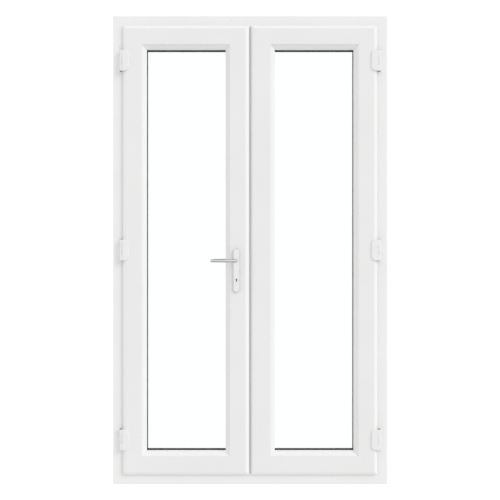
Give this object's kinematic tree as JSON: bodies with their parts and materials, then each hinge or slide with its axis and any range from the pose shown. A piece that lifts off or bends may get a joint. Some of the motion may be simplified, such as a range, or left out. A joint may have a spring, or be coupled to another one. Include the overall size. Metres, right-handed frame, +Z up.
{
  "type": "french doors",
  "caption": "White inward opening double french doors in their outer frame, glazed full height, with a lever handle and a false mullion.",
  "frame": {"origin": "middle of the underside of the outer frame, at half its depth", "axes": "+Z up, -Y towards the room (the pictured side, into which the leaves open), +X to the right seen from the room"},
  "size_m": [1.2, 0.181, 2.05],
  "materials": {
    "white_upvc": "smooth satin white uPVC",
    "white_coated_steel": "white powder coat",
    "galvanised_steel": "galvanised",
    "bright_steel": "zinc plated and polished",
    "satin_metal": "satin silver",
    "gasket_rubber": "matt black",
    "black_plastic": "matt black",
    "glass": "clear"
  },
  "bodies": {
    "outer_frame": {"frame_head": "white_upvc", "frame_threshold": "white_upvc", "frame_left_jamb": "white_upvc", "frame_right_jamb": "white_upvc", "frame_reinforcement": "galvanised_steel", "frame_seal": "gasket_rubber", "drain_caps": "white_upvc", "hinge_brackets": "white_coated_steel", "hinge_pins": "bright_steel", "hinge_pin_caps": "black_plastic", "bolt_keeps": "bright_steel"},
    "active_leaf": {"active_top_rail": "white_upvc", "active_bottom_rail": "white_upvc", "active_hinge_stile": "white_upvc", "active_reinforcement": "galvanised_steel", "active_beads": "white_upvc", "active_glazing_gaskets": "gasket_rubber", "active_panes": "glass", "active_spacer": "black_plastic", "active_packers": "black_plastic", "active_seal": "gasket_rubber", "active_hinge_leaves": "white_coated_steel", "active_hinge_covers": "white_upvc", "active_lock_stile": "white_upvc", "lock_faceplate": "bright_steel", "gearbox_case": "bright_steel", "lock_cylinder": "bright_steel", "inner_handle_plate": "satin_metal", "outer_handle_plate": "satin_metal", "handle_fixing_plate": "bright_steel", "handle_screws": "bright_steel"},
    "lever_set": {"inner_lever": "satin_metal", "outer_lever": "satin_metal", "spindle": "bright_steel", "follower": "bright_steel"},
    "drive_gear": {"drive_rail": "bright_steel", "locking_cams": "bright_steel"},
    "inner_key_plug": {"inner_plug": "bright_steel"},
    "outer_key_plug": {"outer_plug": "bright_steel"},
    "passive_leaf": {"passive_top_rail": "white_upvc", "passive_bottom_rail": "white_upvc", "passive_hinge_stile": "white_upvc", "passive_reinforcement": "galvanised_steel", "passive_beads": "white_upvc", "passive_glazing_gaskets": "gasket_rubber", "passive_panes": "glass", "passive_spacer": "black_plastic", "passive_packers": "black_plastic", "passive_seal": "gasket_rubber", "passive_hinge_leaves": "white_coated_steel", "passive_hinge_covers": "white_upvc", "passive_meeting_stile": "white_upvc", "false_mullion": "white_upvc", "mullion_cover": "white_upvc", "mullion_end_caps": "white_upvc", "mullion_keeps": "bright_steel", "flush_bolt_cases": "bright_steel"},
    "top_flush_bolt": {"top_bolt": "bright_steel"},
    "bottom_flush_bolt": {"bottom_bolt": "bright_steel"}
  },
  "joints": [
    {"name": "active_leaf_swing", "type": "hinge", "parent": "outer_frame", "child": "active_leaf", "pos_m": [-0.5625, -0.049, 1.025], "axis": [0, 0, -1], "range_deg": [0, 105]},
    {"name": "passive_leaf_swing", "type": "hinge", "parent": "outer_frame", "child": "passive_leaf", "pos_m": [0.5625, -0.049, 1.025], "axis": [0, 0, 1], "range_deg": [0, 105]},
    {"name": "lever_turn", "type": "hinge", "parent": "active_leaf", "child": "lever_set", "pos_m": [-0.06, -0.018, 0.979], "axis": [0, -1, 0], "range_deg": [0, 90]},
    {"name": "drive_rail_slide", "type": "slide", "parent": "active_leaf", "child": "drive_gear", "axis": [0, 0, 1], "range_m": [0, 0.018]},
    {"name": "inner_key_turn", "type": "hinge", "parent": "active_leaf", "child": "inner_key_plug", "pos_m": [-0.06, -0.04, 0.894], "axis": [0, -1, 0], "continuous": true},
    {"name": "outer_key_turn", "type": "hinge", "parent": "active_leaf", "child": "outer_key_plug", "pos_m": [-0.06, 0, 0.894], "axis": [0, 1, 0], "continuous": true},
    {"name": "top_bolt_slide", "type": "slide", "parent": "passive_leaf", "child": "top_flush_bolt", "axis": [0, 0, 1], "range_m": [0, 0.018]},
    {"name": "bottom_bolt_slide", "type": "slide", "parent": "passive_leaf", "child": "bottom_flush_bolt", "axis": [0, 0, -1], "range_m": [0, 0.018]}
  ],
  "couplings": [
    {"joint": "drive_rail_slide", "follows": "lever_turn", "m_per_rad": 0.011459}
  ]
}
